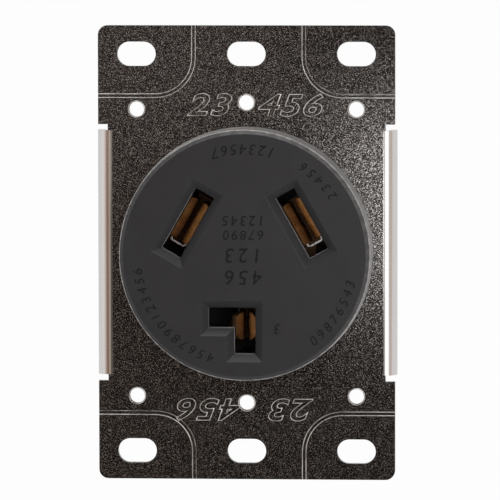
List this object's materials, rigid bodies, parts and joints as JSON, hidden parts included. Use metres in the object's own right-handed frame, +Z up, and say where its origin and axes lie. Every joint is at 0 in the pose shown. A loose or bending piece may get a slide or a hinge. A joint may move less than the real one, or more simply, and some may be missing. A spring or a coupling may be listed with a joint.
{
  "type": "three-slot power receptacle",
  "caption": "Flush-mounted power receptacle for a clothes dryer: stamped steel strap, round moulded face with bevelled slots and folded brass spring contacts.",
  "frame": {"origin": "centre of the strap's box screw pattern, on the strap's rear plane", "axes": "+X right and +Z up as seen from the front, +Y back into the wall box"},
  "size_m": [0.0628, 0.0337, 0.0952],
  "materials": {
    "plated_steel": "bright zinc plating over fine stamped grain",
    "face_moulding": "dark grey thermoset moulding, satin",
    "body_moulding": "dark grey thermoset moulding, matt",
    "contact_brass": "rolled brass strip",
    "spring_steel": "bright spring steel",
    "terminal_steel": "zinc-plated steel",
    "terminal_screws": "zinc-plated steel",
    "housing_screws": "zinc-plated steel"
  },
  "bodies": {
    "root": {"mounting_strap": "plated_steel", "face_housing": "face_moulding", "rear_housing": "body_moulding", "left_line_contact": "contact_brass", "left_line_spring": "spring_steel", "left_line_pressure_plate": "terminal_steel", "left_line_terminal_nut": "terminal_steel", "left_line_terminal_screw": "terminal_screws", "right_line_contact": "contact_brass", "right_line_spring": "spring_steel", "right_line_pressure_plate": "terminal_steel", "right_line_terminal_nut": "terminal_steel", "right_line_terminal_screw": "terminal_screws", "neutral_contact": "contact_brass", "neutral_spring": "spring_steel", "neutral_pressure_plate": "terminal_steel", "neutral_terminal_nut": "terminal_steel", "neutral_terminal_screw": "terminal_screws", "upper_housing_screw": "housing_screws", "lower_left_housing_screw": "housing_screws", "lower_right_housing_screw": "housing_screws"}
  },
  "joints": []
}
